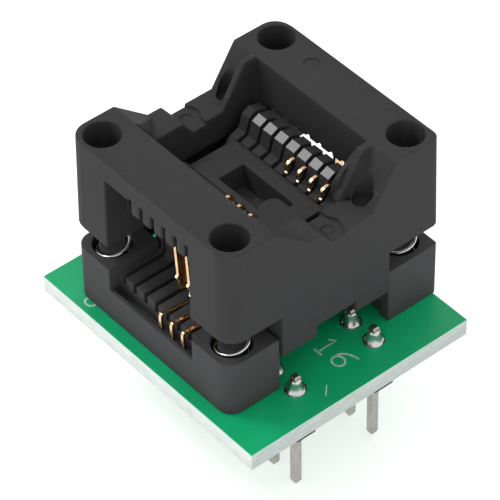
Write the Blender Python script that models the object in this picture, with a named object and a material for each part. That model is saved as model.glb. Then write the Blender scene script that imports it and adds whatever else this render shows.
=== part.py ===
"""A test and programming adapter: a spring-loaded small-outline chip socket on a board with two rows of pins.

The frame: X runs along the rows of contacts, Y across them, Z up. The origin is on the floor, under
the middle of the board. The socket is described from its own middle, which sits a little off the board's.
Side is -1 for the row of contacts towards -Y and +1 for the row towards +Y, and "out" is the distance
from the socket's middle line towards that side.
"""
import math

import bmesh
import bpy
from mathutils import Vector

MM = 0.001

# Clearances
SEAT_GAP = 0.03 * MM
FIT_GAP = 0.02 * MM
RUNNING_GAP = 0.1 * MM
HOLE_GAP = 0.07 * MM
FILLET_GAP = 0.075 * MM
SLOT_GAP = 0.045 * MM
COIL_GAP = 0.1 * MM
COMB_GAP = 0.55 * MM

# Header pins and their strips
PIN_PITCH = 2.54 * MM
PINS_PER_ROW = 8
ROW_SPACING = 7.62 * MM
PIN_WIDTH = 0.64 * MM
PIN_DROP = 5.8 * MM
PIN_TAPER = 0.25 * MM
PIN_TIP_WIDTH = 0.42 * MM
PIN_STAND = 1.2 * MM
PIN_ROWS_X = 0.3 * MM
STRIP_HEIGHT = 2.65 * MM
STRIP_WIDTH = 2.4 * MM
STRIP_NOTCH = 0.35 * MM

# Chip contacts: how many there are, their pitch and their metal
CONTACT_PITCH = 1.27 * MM
POSITIONS_PER_SIDE = 8
FIRST_POSITION = 4
CONTACT_THICKNESS = 0.27 * MM
TAIL_WIDTH = 0.3 * MM
TAIL_BELOW_BOARD = 0.75 * MM

# Springs
SPRING_RADIUS = 1.28 * MM
WIRE_RADIUS = 0.12 * MM
SPRING_TURNS = 6
STEPS_PER_TURN = 12
WIRE_SIDES = 6

# Board, its holes and its solder
BOARD_LENGTH = 24.3 * MM
BOARD_THICKNESS = 1.5 * MM
BOARD_FRONT_MARGIN = 1.05 * MM
SOCKET_OVERHANG = 0.25 * MM
PIN_HOLE_RADIUS = PIN_WIDTH * math.sqrt(0.5) + HOLE_GAP
TAIL_HOLE_RADIUS = TAIL_WIDTH * math.sqrt(0.5) + HOLE_GAP
FILLET_NECK_RADIUS = PIN_HOLE_RADIUS + 0.01 * MM
FILLET_RADIUS = FILLET_NECK_RADIUS + 0.21 * MM
FILLET_HEIGHT = 1.1 * MM
TAIL_FILLET_NECK = TAIL_HOLE_RADIUS + 0.02 * MM
TAIL_FILLET_RADIUS = TAIL_FILLET_NECK + 0.16 * MM
TAIL_FILLET_HEIGHT = 0.6 * MM

# Widths from the socket's middle line outwards, each set by the one before it
ROWS_OFFSET = 0.625 * MM
SEAT_HALF_WIDTH = 2.15 * MM
SUPPORT_WIDTH = 0.38 * MM
SUPPORT_OUT = SEAT_HALF_WIDTH + SUPPORT_WIDTH + 0.22 * MM
HOOK_TIP_OUT = SEAT_HALF_WIDTH + 0.23 * MM
ARM_WIDTH = 0.5 * MM
ARM_OUT = SEAT_HALF_WIDTH + 2.0 * MM
RAIL_IN = ARM_OUT + 0.25 * MM
RAIL_OUT = RAIL_IN + 0.7 * MM
WALL_IN = RAIL_OUT + COMB_GAP
SPRING_LEG_WIDTH = 0.3 * MM
SPRING_LEG_OUT = WALL_IN + 0.7 * MM
CEILING_STEP_OUT = WALL_IN + 1.0 * MM
STEM_WIDTH = 0.9 * MM
STEM_OUT = CEILING_STEP_OUT + 0.2 * MM + STEM_WIDTH
STEM_LEAN = 0.35 * MM
WALL_THICKNESS = 4.4 * MM
HALF_WIDTH = WALL_IN + WALL_THICKNESS
TAIL_WALL = 0.4 * MM
TAIL_OUT = HALF_WIDTH - TAIL_WALL
LOW_RIB_OUT = TAIL_OUT - 0.7 * MM
TOP_HOLE_Y = HALF_WIDTH - 1.85 * MM
SPRING_Y = TOP_HOLE_Y - 0.2 * MM
INNER_HALF_WIDTH = ROW_SPACING / 2 + ROWS_OFFSET + FILLET_RADIUS + FILLET_GAP
SKIRT_HALF_WIDTH = INNER_HALF_WIDTH - RUNNING_GAP
TUNNEL_HALF_WIDTH = INNER_HALF_WIDTH + 0.25 * MM

# Lengths from the socket's middle outwards, each set by the one before it
LAST_CONTACT_X = (POSITIONS_PER_SIDE - 1) / 2 * CONTACT_PITCH
BLOCK_INNER_X = LAST_CONTACT_X + 0.305 * MM
SEAT_HALF_LENGTH = LAST_CONTACT_X + 0.555 * MM
SEAT_END_STOP = 0.4 * MM
DECK_HALF_LENGTH = SEAT_HALF_LENGTH + SEAT_END_STOP + 0.8 * MM
WELL_HALF_LENGTH = DECK_HALF_LENGTH + 0.2 * MM
LEDGE_REACH = 0.8 * MM
LEDGE_POST = 0.6 * MM
SKIRT_THICKNESS = 1.6 * MM
HALF_LENGTH = DECK_HALF_LENGTH + LEDGE_REACH + SKIRT_THICKNESS + 5 * RUNNING_GAP
BASE_HALF_LENGTH = HALF_LENGTH - 0.2 * MM
TOP_HOLE_X = HALF_LENGTH - 2.0 * MM
SPRING_X = TOP_HOLE_X - 0.25 * MM
SOCKET_X = -0.45 * MM
TRAVEL = 2.0 * MM

# Base, with heights from the top of the board
BASE_CORNER_RADIUS = 1.3 * MM
BASE_SHARP_RADIUS = 0.25 * MM
SILL_HEIGHT = 2.95 * MM
TROUGH_FLOOR = 2.05 * MM
BLOCK_HEIGHT = 5.05 * MM
TUNNEL_HEIGHT = 1.4 * MM
TUNNEL_WALL = 0.9 * MM
WELL_FLOOR = 3.0 * MM
BOSS_RADIUS = SPRING_RADIUS - WIRE_RADIUS - COIL_GAP
SPRING_POCKET_RADIUS = SPRING_RADIUS + WIRE_RADIUS + 1.5 * COIL_GAP
LEDGE_BOTTOM = 4.3 * MM
SEAT_HEIGHT = 10.5 * MM
SEAT_WINDOW_LOW_X = -2.45 * MM
SEAT_WINDOW_HIGH_X = 3.2 * MM
SEAT_WINDOW_LOW_Y = -1.32 * MM
SEAT_WINDOW_HIGH_Y = 1.02 * MM
SEAT_WINDOW_DEPTH = 2.2 * MM
TONGUE_LENGTH = 1.8 * MM
TONGUE_SLIT = 0.3 * MM
COMB_TOP = SEAT_HEIGHT + 2.0 * MM
RAIL_BOTTOM = COMB_TOP - 1.1 * MM
RAIL_NOTCH_BOTTOM = COMB_TOP - 0.6 * MM
LOW_RIB_HEIGHT = 3.92 * MM
SLOT_WIDTH = CONTACT_THICKNESS + 2 * SLOT_GAP

# Contacts, with heights from the top of the board
BAR_HEIGHT = 0.3 * MM
BAR_TOP = 3.87 * MM
BAR_END_TOP = 4.3 * MM
STEM_LOW = 5.6 * MM
STEM_HIGH = 11.3 * MM
BRIDGE_LOW = 6.9 * MM
BRIDGE_HIGH = 7.6 * MM
SUPPORT_HEIGHT = SEAT_HEIGHT + 0.5 * MM
HOOK_GAP = 0.22 * MM
HOOK_METAL = 0.28 * MM
HOOK_TOP = SUPPORT_HEIGHT + HOOK_GAP + 0.66 * MM

# Cover, with heights from the top of the board
COVER_CORNER_RADIUS = 1.5 * MM
COVER_SHARP_RADIUS = 0.7 * MM
COVER_DRAFT = 0.12 * MM
COVER_BOTTOM = 7.25 * MM
COVER_TOP = 15.7 * MM
SKIRT_BOTTOM = 3.35 * MM
SKIRT_HOLLOW_TOP = 9.5 * MM
SKIRT_NOTCH_HALF_WIDTH = 1.85 * MM
SKIRT_NOTCH_HEIGHT = 1.0 * MM
BARB_INNER_Y = 2.25 * MM
BARB_OUTER_Y = 4.55 * MM
BARB_REACH = 0.75 * MM
BARB_HEIGHT = 0.75 * MM
WINDOW_HALF_LENGTH = BLOCK_INNER_X
CEILING_STEP_HEIGHT = 11.65 * MM
CEILING_NOTCH = 0.25 * MM
WINDOW_TOP = 12.75 * MM
WINDOW_HIGH_TOP = 13.8 * MM
GROOVE_TOP = 14.0 * MM
END_BEAM_TOP = 11.84 * MM
END_PLATFORM_TOP = 12.15 * MM
END_PLATFORM_OUT = 0.85 * MM
END_STEP_HEIGHT = 13.12 * MM
NEAR_SLOPE_FOOT_OUT = 2.6 * MM
END_STEP_OUT = 1.37 * MM
END_STEP_FOOT_OUT = 0.43 * MM
FAR_SLOPE_FOOT_OUT = 3.42 * MM
LIP_THICKNESS = 0.55 * MM
LIP_PROUD = 1.0 * MM
TOP_HOLE_RADIUS = 1.42 * MM
TOP_HOLE_SHIFT = 0.05 * MM
TOP_HOLE_DEPTH = 3.5 * MM
NECK_RADIUS = 1.0 * MM
NECK_HEIGHT = 1.0 * MM
FAR_POCKET_RADIUS = 0.8 * MM
FAR_POCKET_X = HALF_LENGTH - 1.65 * MM
FAR_POCKET_OUT = FAR_SLOPE_FOOT_OUT + 0.48 * MM
RAMP_CUT_FAR_X = HALF_LENGTH - 0.63 * MM
RAMP_CUT_WELL_OUT = NEAR_SLOPE_FOOT_OUT + 1.38 * MM
RAMP_CUT_STEEPNESS = 1.6
MARK_DEPTH = 0.1 * MM
END_MARK_X = HALF_LENGTH - 1.2 * MM
END_MARK_Y = 0.15 * MM
END_MARK_RADIUS = 0.5 * MM
END_CLEARING_RADIUS = 1.1 * MM
TOP_MARK_X = -3.1 * MM
TOP_MARK_Y = HALF_WIDTH - 1.8 * MM
TOP_MARK_RADIUS = 0.65 * MM

# Places worked out from the sizes above
BOARD_BOTTOM = PIN_DROP + STRIP_HEIGHT
BOARD_TOP = BOARD_BOTTOM + BOARD_THICKNESS
BOARD_WIDTH = 2 * HALF_WIDTH + BOARD_FRONT_MARGIN - SOCKET_OVERHANG
BOARD_Y = -SOCKET_OVERHANG / 2
SOCKET_Y = BOARD_Y + BOARD_WIDTH / 2 + SOCKET_OVERHANG - HALF_WIDTH
PIN_ROWS_Y = SOCKET_Y - ROWS_OFFSET
SIDES = (-1, 1)
REACH = 30 * MM


def material(name, colour, roughness, metallic=0.0):
    """A Principled material, made once and found by its name after that."""
    found = bpy.data.materials.get(name)
    if found:
        return found
    made = bpy.data.materials.new(name)
    made.use_nodes = True
    shader = made.node_tree.nodes["Principled BSDF"]
    shader.inputs["Base Color"].default_value = (*colour, 1.0)
    shader.inputs["Roughness"].default_value = roughness
    shader.inputs["Metallic"].default_value = metallic
    made.diffuse_color = (*colour, 1.0)
    return made


def board_green():
    return material("board_green", (0.01, 0.27, 0.15), 0.4)


def socket_black():
    return material("socket_black", (0.022, 0.022, 0.024), 0.5)


def strip_black():
    return material("strip_black", (0.018, 0.018, 0.02), 0.55)


def pin_metal():
    return material("pin_metal", (0.62, 0.6, 0.56), 0.28, 1.0)


def solder_metal():
    return material("solder_metal", (0.72, 0.73, 0.74), 0.3, 1.0)


def contact_gold():
    return material("contact_gold", (0.86, 0.58, 0.25), 0.25, 1.0)


def spring_steel():
    return material("spring_steel", (0.7, 0.7, 0.69), 0.22, 1.0)


def add_prism(bm, outline, low, high, axis="Z"):
    """Adds the prism of a flat outline. The outline's two numbers are X, Y for axis Z and Y, Z for axis X."""
    def at(point, level):
        if axis == "Z":
            return Vector((point[0], point[1], level))
        return Vector((level, point[0], point[1]))
    lower = [bm.verts.new(at(point, low)) for point in outline]
    upper = [bm.verts.new(at(point, high)) for point in outline]
    faces = [bm.faces.new(lower[::-1]), bm.faces.new(upper)]
    for i in range(len(outline)):
        j = (i + 1) % len(outline)
        faces.append(bm.faces.new((lower[i], lower[j], upper[j], upper[i])))
    bmesh.ops.recalc_face_normals(bm, faces=faces)


def add_box(bm, x, y, z):
    """Adds a box from three (low, high) pairs, in any order within a pair."""
    (x0, x1), (y0, y1), (z0, z1) = sorted(x), sorted(y), sorted(z)
    add_prism(bm, [(x0, y0), (x1, y0), (x1, y1), (x0, y1)], z0, z1)


def circle(radius, count, centre=(0.0, 0.0)):
    return [(centre[0] + radius * math.cos(math.tau * i / count), centre[1] + radius * math.sin(math.tau * i / count))
            for i in range(count)]


def rounded_rectangle(half_x, half_y, common_radius, far_right_radius, steps=6):
    """A rectangle with rounded corners, as one loop. The corner towards +X and +Y has a radius of its own."""
    points = []
    for quarter, (sx, sy) in enumerate(((1, 1), (-1, 1), (-1, -1), (1, -1))):
        radius = far_right_radius if quarter == 0 else common_radius
        for i in range(steps + 1):
            angle = math.pi / 2 * (quarter + i / steps)
            points.append((sx * (half_x - radius) + radius * math.cos(angle),
                           sy * (half_y - radius) + radius * math.sin(angle)))
    return points


def add_loft(bm, lower_outline, upper_outline, low, high):
    """Adds the solid between two outlines with as many corners, each at its own height."""
    lower = [bm.verts.new((x, y, low)) for x, y in lower_outline]
    upper = [bm.verts.new((x, y, high)) for x, y in upper_outline]
    faces = [bm.faces.new(lower[::-1]), bm.faces.new(upper)]
    for i in range(len(lower)):
        j = (i + 1) % len(lower)
        faces.append(bm.faces.new((lower[i], lower[j], upper[j], upper[i])))
    bmesh.ops.recalc_face_normals(bm, faces=faces)


def new_object(name, bm, place=(0.0, 0.0, 0.0)):
    mesh = bpy.data.meshes.new(name)
    bm.to_mesh(mesh)
    bm.free()
    made = bpy.data.objects.new(name, mesh)
    made.location = place
    bpy.context.scene.collection.objects.link(made)
    return made


def boolean(target, operation, bm):
    """Cuts the bmesh's closed shapes from the target's mesh, or joins them to it. Both are in the target's own frame."""
    tool = new_object("tool", bm, target.location)
    modifier = target.modifiers.new(operation.lower(), "BOOLEAN")
    modifier.operation = operation
    modifier.solver = "EXACT"
    modifier.object = tool
    bpy.context.view_layer.update()
    evaluated = target.evaluated_get(bpy.context.evaluated_depsgraph_get())
    result = bpy.data.meshes.new_from_object(evaluated)
    target.modifiers.clear()
    old, target.data = target.data, result
    bpy.data.meshes.remove(old)
    result.name = target.name
    bpy.data.objects.remove(tool)


def finish(target, surface, smooth_angle=None):
    """Merges flat neighbouring faces, gives the piece its material and shades round stretches smooth."""
    bm = bmesh.new()
    bm.from_mesh(target.data)
    bmesh.ops.remove_doubles(bm, verts=bm.verts, dist=0.0005 * MM)
    bmesh.ops.dissolve_limit(bm, angle_limit=math.radians(0.5), verts=bm.verts, edges=bm.edges, delimit={"NORMAL"})
    bmesh.ops.triangulate(bm, faces=[face for face in bm.faces if len(face.verts) > 4])
    bm.to_mesh(target.data)
    bm.free()
    target.data.materials.clear()
    target.data.materials.append(surface)
    if smooth_angle:
        target.data.shade_smooth()
        target.data.set_sharp_from_angle(angle=math.radians(smooth_angle))
    return target


def row_y(side):
    return PIN_ROWS_Y + side * ROW_SPACING / 2


def pin_places():
    """Header pins as (number, x, y), numbered down the -Y row from +X and back along the +Y row."""
    first = PIN_ROWS_X + (PINS_PER_ROW - 1) / 2 * PIN_PITCH
    for i in range(PINS_PER_ROW):
        yield i + 1, first - i * PIN_PITCH, row_y(-1)
        yield 2 * PINS_PER_ROW - i, first - i * PIN_PITCH, row_y(1)


def position_x(index):
    """The X of one contact position, from the socket's middle."""
    return (index - (POSITIONS_PER_SIDE - 1) / 2) * CONTACT_PITCH


def contact_places():
    """The fitted contacts as (number, x, side): the four positions towards +X on each side."""
    for side in SIDES:
        for index in range(FIRST_POSITION, POSITIONS_PER_SIDE):
            number = index + 1 if side < 0 else 2 * POSITIONS_PER_SIDE - index
            yield number, position_x(index), side


def tail_y(side):
    return SOCKET_Y + side * (TAIL_OUT - TAIL_WIDTH / 2)


def make_board():
    bm = bmesh.new()
    add_box(bm, (-BOARD_LENGTH / 2, BOARD_LENGTH / 2), (BOARD_Y - BOARD_WIDTH / 2, BOARD_Y + BOARD_WIDTH / 2),
            (BOARD_BOTTOM, BOARD_TOP))
    board = new_object("circuit_board", bm)
    holes = bmesh.new()
    for _, x, y in pin_places():
        add_prism(holes, circle(PIN_HOLE_RADIUS, 12, (x, y)), BOARD_BOTTOM - REACH, BOARD_TOP + REACH)
    for _, x, side in contact_places():
        add_prism(holes, circle(TAIL_HOLE_RADIUS, 8, (SOCKET_X + x, tail_y(side))), BOARD_BOTTOM - REACH, BOARD_TOP + REACH)
    boolean(board, "DIFFERENCE", holes)
    return finish(board, board_green(), 30)


def make_strip(name, y):
    """A header strip: a moulded bar with a waist between its pins and a square hole at each pin."""
    half = STRIP_WIDTH / 2
    start = PIN_ROWS_X - PINS_PER_ROW * PIN_PITCH / 2
    edge = []
    for i in range(PINS_PER_ROW + 1):
        x = start + i * PIN_PITCH
        if i > 0:
            edge.append((x - STRIP_NOTCH, y - half))
        edge.append((x, y - half + STRIP_NOTCH))
        if i < PINS_PER_ROW:
            edge.append((x + STRIP_NOTCH, y - half))
    bm = bmesh.new()
    add_prism(bm, edge + [(ex, 2 * y - ey) for ex, ey in reversed(edge)], PIN_DROP + FIT_GAP, BOARD_BOTTOM - SEAT_GAP)
    strip = new_object(name, bm)
    holes = bmesh.new()
    grip = PIN_WIDTH / 2 + FIT_GAP
    for _, x, pin_y in pin_places():
        if abs(pin_y - y) < half:
            add_box(holes, (x - grip, x + grip), (y - grip, y + grip), (PIN_DROP - REACH, BOARD_BOTTOM + REACH))
    boolean(strip, "DIFFERENCE", holes)
    return finish(strip, strip_black())


def make_pin(number, x, y):
    """A square header pin, tapered to a small flat at its lower end."""
    bm = bmesh.new()
    half, tip = PIN_WIDTH / 2, PIN_TIP_WIDTH / 2
    rings = []
    for width, z in ((tip, 0.0), (half, PIN_TAPER), (half, BOARD_TOP + PIN_STAND - half / 2), (half * 0.7, BOARD_TOP + PIN_STAND)):
        rings.append([bm.verts.new((sx * width, sy * width, z)) for sx, sy in ((-1, -1), (1, -1), (1, 1), (-1, 1))])
    bm.faces.new(rings[0][::-1])
    bm.faces.new(rings[-1])
    for low, high in zip(rings, rings[1:]):
        for i in range(4):
            j = (i + 1) % 4
            bm.faces.new((low[i], low[j], high[j], high[i]))
    pin = new_object(f"header_pin_{number:02d}", bm, (x, y, 0.0))
    return finish(pin, pin_metal())


def make_fillet(name, place, direction, radii, height, hole_half, count):
    """A solder fillet: a turned cone, hollow where a square leg runs through it. Direction is +1 up, -1 down."""
    bm = bmesh.new()
    foot, neck = radii
    profile = [(foot, 0.0), (foot * 0.35 + neck * 0.65, height * 0.3), (neck * 1.04, height * 0.7), (neck, height)]
    rings = [[bm.verts.new((r * math.cos(math.tau * i / count), r * math.sin(math.tau * i / count), direction * z))
              for i in range(count)] for r, z in profile]
    bm.faces.new(rings[0])
    bm.faces.new(rings[-1])
    for low, high in zip(rings, rings[1:]):
        for i in range(count):
            j = (i + 1) % count
            bm.faces.new((low[i], low[j], high[j], high[i]))
    bmesh.ops.recalc_face_normals(bm, faces=bm.faces)
    fillet = new_object(name, bm, place)
    hole = bmesh.new()
    add_box(hole, (-hole_half, hole_half), (-hole_half, hole_half), (-REACH, REACH))
    boolean(fillet, "DIFFERENCE", hole)
    return finish(fillet, solder_metal(), 50)


def make_base():
    """The moulded lower half: corner blocks with spring wells, a raised deck, the chip seat and its two combs."""
    place = (SOCKET_X, SOCKET_Y, BOARD_TOP)
    bm = bmesh.new()
    add_prism(bm, rounded_rectangle(BASE_HALF_LENGTH, HALF_WIDTH, BASE_CORNER_RADIUS, BASE_SHARP_RADIUS),
              SEAT_GAP, BLOCK_HEIGHT)
    base = new_object("socket_base", bm, place)
    inner_y = INNER_HALF_WIDTH
    for x, y, z in (((-BLOCK_INNER_X, BLOCK_INNER_X), (-REACH, REACH), (SILL_HEIGHT, REACH)),
                    ((-REACH, REACH), (-inner_y, inner_y), (SILL_HEIGHT, REACH)),
                    ((-REACH, REACH), (-inner_y, inner_y), (-REACH, TUNNEL_HEIGHT)),
                    ((TUNNEL_WALL - BASE_HALF_LENGTH, BASE_HALF_LENGTH - TUNNEL_WALL),
                     (-TUNNEL_HALF_WIDTH, TUNNEL_HALF_WIDTH), (-REACH, TUNNEL_HEIGHT)),
                    ((DECK_HALF_LENGTH, REACH), (-inner_y, inner_y), (-REACH, REACH)),
                    ((-REACH, -DECK_HALF_LENGTH), (-inner_y, inner_y), (-REACH, REACH))):
        cut = bmesh.new()
        add_box(cut, x, y, z)
        boolean(base, "DIFFERENCE", cut)
    troughs = bmesh.new()
    for side in SIDES:
        add_box(troughs, (-BLOCK_INNER_X, BLOCK_INNER_X), (side * (LOW_RIB_OUT - 0.3 * MM), side * (TAIL_OUT + 2 * FIT_GAP)),
                (TROUGH_FLOOR, REACH))
    boolean(base, "DIFFERENCE", troughs)
    wells = bmesh.new()
    for sx in SIDES:
        for sy in SIDES:
            add_prism(wells, circle(SPRING_POCKET_RADIUS, 24, (sx * SPRING_X, sy * SPRING_Y)), WELL_FLOOR, REACH)
    boolean(base, "DIFFERENCE", wells)
    bosses = bmesh.new()
    for sx in SIDES:
        for sy in SIDES:
            add_prism(bosses, circle(BOSS_RADIUS, 20, (sx * SPRING_X, sy * SPRING_Y)), WELL_FLOOR - 0.5 * MM, BLOCK_HEIGHT)
    boolean(base, "UNION", bosses)
    add_seat(base)
    add_ledges(base)
    return finish(base, socket_black(), 30)


def comb_outline(side):
    """The section of one comb across the socket, as (y, z)."""
    points = ((SEAT_HALF_WIDTH - 0.5 * MM, TUNNEL_HEIGHT + 0.5 * MM), (LOW_RIB_OUT, TUNNEL_HEIGHT + 0.5 * MM),
              (LOW_RIB_OUT, LOW_RIB_HEIGHT), (RAIL_OUT + 0.3 * MM, LOW_RIB_HEIGHT),
              (RAIL_OUT, LOW_RIB_HEIGHT + 0.3 * MM), (RAIL_OUT, COMB_TOP - 0.3 * MM),
              (RAIL_IN - 0.35 * MM, COMB_TOP), (RAIL_IN - 1.0 * MM, COMB_TOP - 0.35 * MM),
              (SEAT_HALF_WIDTH + 0.85 * MM, SEAT_HEIGHT + 0.4 * MM), (SEAT_HALF_WIDTH, SEAT_HEIGHT + 0.2 * MM),
              (SEAT_HALF_WIDTH - 0.5 * MM, SEAT_HEIGHT - 0.5 * MM))
    return [(side * out, z) for out, z in points]


def add_seat(base):
    """The chip's seat with its window and tongue, and a slotted comb on each side of it."""
    seat = bmesh.new()
    add_box(seat, (-SEAT_HALF_LENGTH, SEAT_HALF_LENGTH), (-SEAT_HALF_WIDTH, SEAT_HALF_WIDTH),
            (TUNNEL_HEIGHT + 0.5 * MM, SEAT_HEIGHT))
    boolean(base, "UNION", seat)
    comb_half = SEAT_HALF_LENGTH + SEAT_END_STOP
    for side in SIDES:
        comb = bmesh.new()
        add_prism(comb, comb_outline(side), -comb_half, comb_half, axis="X")
        boolean(base, "UNION", comb)
    slots = bmesh.new()
    notches = bmesh.new()
    tail_holes = bmesh.new()
    for side in SIDES:
        for index in range(POSITIONS_PER_SIDE):
            x = position_x(index)
            width = (x - SLOT_WIDTH / 2, x + SLOT_WIDTH / 2)
            section = ((SEAT_HALF_WIDTH + 0.1 * MM, SILL_HEIGHT), (HALF_WIDTH + REACH, SILL_HEIGHT),
                       (HALF_WIDTH + REACH, RAIL_BOTTOM), (RAIL_IN, RAIL_BOTTOM), (RAIL_IN, REACH),
                       (SEAT_HALF_WIDTH + 0.1 * MM, REACH))
            add_prism(slots, [(side * out, z) for out, z in section], *width, axis="X")
            add_box(notches, width, (side * (RAIL_IN - 0.1 * MM), side * (RAIL_OUT + 0.1 * MM)), (RAIL_NOTCH_BOTTOM, REACH))
            add_box(tail_holes, width, (side * (TAIL_OUT - TAIL_WIDTH - 2 * FIT_GAP), side * (TAIL_OUT + 2 * FIT_GAP)),
                    (-REACH, TROUGH_FLOOR + 0.3 * MM))
    for cut in (slots, notches, tail_holes):
        boolean(base, "DIFFERENCE", cut)
    window = bmesh.new()
    add_box(window, (SEAT_WINDOW_LOW_X, SEAT_WINDOW_HIGH_X), (SEAT_WINDOW_LOW_Y, SEAT_WINDOW_HIGH_Y),
            (SEAT_HEIGHT - SEAT_WINDOW_DEPTH, REACH))
    boolean(base, "DIFFERENCE", window)
    tongue = bmesh.new()
    round_half = (SEAT_WINDOW_HIGH_Y - SEAT_WINDOW_LOW_Y - TONGUE_SLIT) / 2
    middle_y = SEAT_WINDOW_LOW_Y + round_half
    start = SEAT_WINDOW_HIGH_X - TONGUE_LENGTH
    outline = [(SEAT_WINDOW_HIGH_X + 0.3 * MM, middle_y - round_half), (SEAT_WINDOW_HIGH_X + 0.3 * MM, middle_y + round_half)]
    for i in range(9):
        angle = math.pi / 2 + math.pi * i / 8
        outline.append((start + 0.7 * MM + 0.7 * MM * math.cos(angle), middle_y + round_half * math.sin(angle)))
    add_prism(tongue, outline, SEAT_HEIGHT - 1.0 * MM, SEAT_HEIGHT - 0.15 * MM)
    boolean(base, "UNION", tongue)


def add_ledges(base):
    """Four ledges at the deck's ends, which the cover's barbs catch under."""
    ledges = bmesh.new()
    for sx in SIDES:
        for sy in SIDES:
            section = ((DECK_HALF_LENGTH - LEDGE_POST, TUNNEL_HEIGHT + 0.5 * MM), (DECK_HALF_LENGTH, TUNNEL_HEIGHT + 0.5 * MM),
                       (DECK_HALF_LENGTH, LEDGE_BOTTOM), (DECK_HALF_LENGTH + LEDGE_REACH, LEDGE_BOTTOM),
                       (DECK_HALF_LENGTH + LEDGE_REACH, LEDGE_BOTTOM + 0.35 * MM),
                       (DECK_HALF_LENGTH, BLOCK_HEIGHT), (DECK_HALF_LENGTH - LEDGE_POST, BLOCK_HEIGHT))
            low, high = sorted((sy * BARB_INNER_Y, sy * BARB_OUTER_Y))
            outline = [(sx * x, z) for x, z in section]
            lower = [ledges.verts.new((x, low, z)) for x, z in outline]
            upper = [ledges.verts.new((x, high, z)) for x, z in outline]
            faces = [ledges.faces.new(lower), ledges.faces.new(upper[::-1])]
            for i in range(len(outline)):
                j = (i + 1) % len(outline)
                faces.append(ledges.faces.new((lower[j], lower[i], upper[i], upper[j])))
            bmesh.ops.recalc_face_normals(ledges, faces=faces)
    boolean(base, "UNION", ledges)


def contact_outline():
    """The stamped outline of one contact as (out, z): tail, bar, support leg, spring leg, stem, bridge and hook."""
    bar_low = BAR_TOP - BAR_HEIGHT
    arm_in = ARM_OUT - ARM_WIDTH
    leg_in = SPRING_LEG_OUT - SPRING_LEG_WIDTH
    stem_in = STEM_OUT - STEM_WIDTH
    support_in = SUPPORT_OUT - SUPPORT_WIDTH
    top_out = STEM_OUT + STEM_LEAN
    top_in = stem_in + STEM_LEAN
    tail_end = -BOARD_THICKNESS - TAIL_BELOW_BOARD
    outline = [(TAIL_OUT, tail_end), (TAIL_OUT, BAR_END_TOP - 0.1 * MM), (TAIL_OUT - 0.1 * MM, BAR_END_TOP),
               (SPRING_LEG_OUT, BAR_TOP), (SPRING_LEG_OUT, BRIDGE_LOW), (stem_in, BRIDGE_LOW), (stem_in, STEM_LOW),
               (STEM_OUT, STEM_LOW), (STEM_OUT + 0.2 * STEM_LEAN, BRIDGE_LOW - 0.1 * MM),
               (STEM_OUT + 0.25 * STEM_LEAN + 0.2 * MM, BRIDGE_LOW),
               (STEM_OUT + 0.3 * STEM_LEAN, BRIDGE_LOW + 0.25 * MM),
               (top_out, STEM_HIGH - 0.2 * MM), (top_out - 0.15 * MM, STEM_HIGH), (top_out - 0.45 * MM, STEM_HIGH),
               (top_in, STEM_HIGH - 1.2 * MM), (stem_in + 0.3 * STEM_LEAN, BRIDGE_HIGH), (ARM_OUT, BRIDGE_HIGH),
               (ARM_OUT, HOOK_TOP - 0.68 * MM)]
    crown = ((0.06, 0.38), (0.25, 0.16), (0.55, 0.02), (0.95, 0.0), (1.35, 0.14), (1.65, 0.38))
    outline += [(ARM_OUT - inward * MM, HOOK_TOP - drop * MM) for inward, drop in crown]
    tip = HOOK_TOP - 0.58 * MM
    under = HOOK_TOP - HOOK_METAL
    outline += [(HOOK_TIP_OUT, tip), (HOOK_TIP_OUT + 0.2 * MM, tip - 0.08 * MM), (HOOK_TIP_OUT + 0.5 * MM, under - 0.14 * MM),
                (HOOK_TIP_OUT + 0.85 * MM, under), (arm_in - 0.1 * MM, under - 0.12 * MM), (arm_in, HOOK_TOP - 0.75 * MM),
                (arm_in, BRIDGE_LOW), (leg_in, BRIDGE_LOW), (leg_in, BAR_TOP), (SUPPORT_OUT, BAR_TOP),
                (SUPPORT_OUT, SUPPORT_HEIGHT - 0.15 * MM), (SUPPORT_OUT - 0.12 * MM, SUPPORT_HEIGHT),
                (support_in + 0.08 * MM, SUPPORT_HEIGHT), (support_in, SUPPORT_HEIGHT - 0.2 * MM), (support_in, bar_low),
                (SPRING_LEG_OUT, bar_low), (TAIL_OUT - TAIL_WIDTH, BAR_END_TOP - BAR_HEIGHT),
                (TAIL_OUT - TAIL_WIDTH, tail_end)]
    return outline


def make_contact(number, x, side):
    bm = bmesh.new()
    outline = [(side * out, z) for out, z in contact_outline()]
    add_prism(bm, outline, -CONTACT_THICKNESS / 2, CONTACT_THICKNESS / 2, axis="X")
    contact = new_object(f"contact_{number:02d}", bm, (SOCKET_X + x, SOCKET_Y, BOARD_TOP))
    return finish(contact, contact_gold())


def end_valley():
    """The section cut from both ends of the cover's top, as (y, z): a drop, a step, a flat, a platform and a steep rise."""
    near_slope = (COVER_TOP - END_STEP_HEIGHT) / (WALL_IN - NEAR_SLOPE_FOOT_OUT)
    far_slope = (COVER_TOP - END_PLATFORM_TOP) / (WALL_IN - FAR_SLOPE_FOOT_OUT)
    above = 1.0 * MM
    return [(-WALL_IN - above / near_slope, COVER_TOP + above), (-NEAR_SLOPE_FOOT_OUT, END_STEP_HEIGHT),
            (-END_STEP_OUT, END_STEP_HEIGHT), (-END_STEP_FOOT_OUT, END_BEAM_TOP), (END_PLATFORM_OUT, END_BEAM_TOP),
            (END_PLATFORM_OUT, END_PLATFORM_TOP), (FAR_SLOPE_FOOT_OUT, END_PLATFORM_TOP),
            (WALL_IN + above / far_slope, COVER_TOP + above)]


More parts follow.
